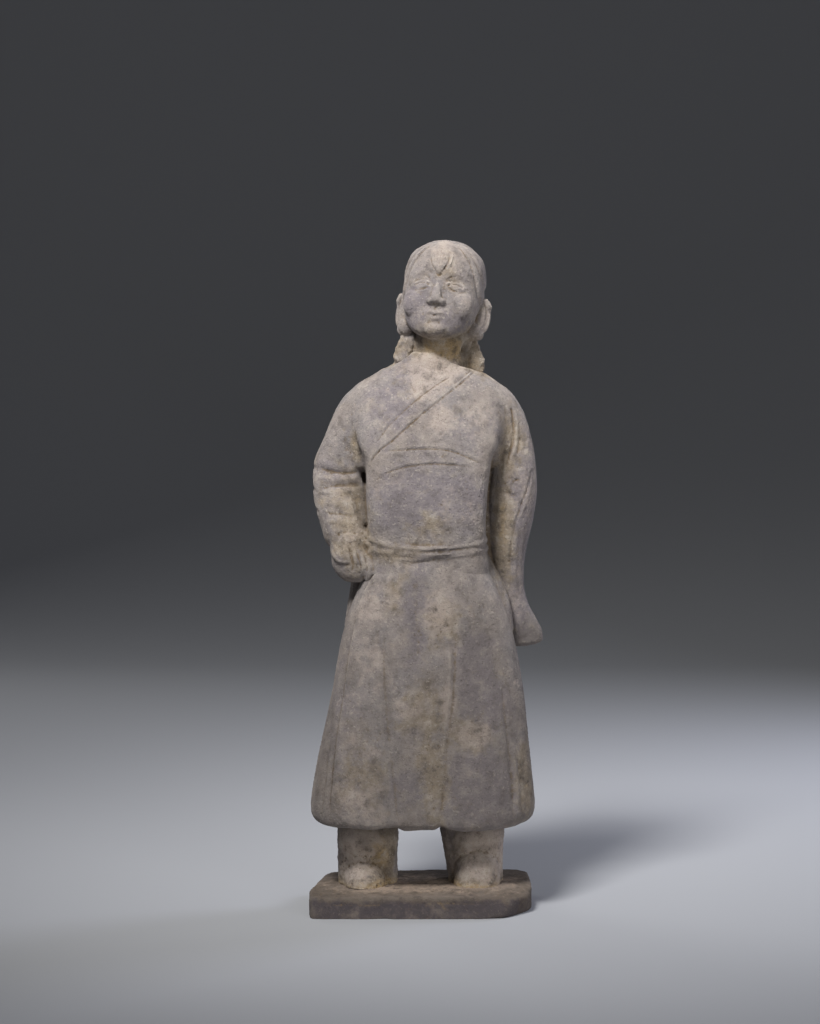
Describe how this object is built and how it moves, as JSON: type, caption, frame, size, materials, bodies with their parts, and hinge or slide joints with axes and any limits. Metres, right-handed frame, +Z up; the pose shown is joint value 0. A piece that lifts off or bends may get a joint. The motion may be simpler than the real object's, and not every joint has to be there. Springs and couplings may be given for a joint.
{
  "type": "pottery tomb figure",
  "caption": "Standing man in a long belted robe, one fist at the hip and one long sleeve hanging, moulded in grey earthenware on a slab plinth.",
  "frame": {"origin": "centre of the plinth's flat underside", "axes": "+Z up, the figure faces -Y, +X towards the figure's left hand"},
  "size_m": [0.1122, 0.068, 0.3202],
  "materials": {
    "grey earthenware": "matte",
    "slab earthenware": "matte"
  },
  "bodies": {
    "root": {"figure": "grey earthenware", "plinth": "slab earthenware"}
  },
  "joints": []
}
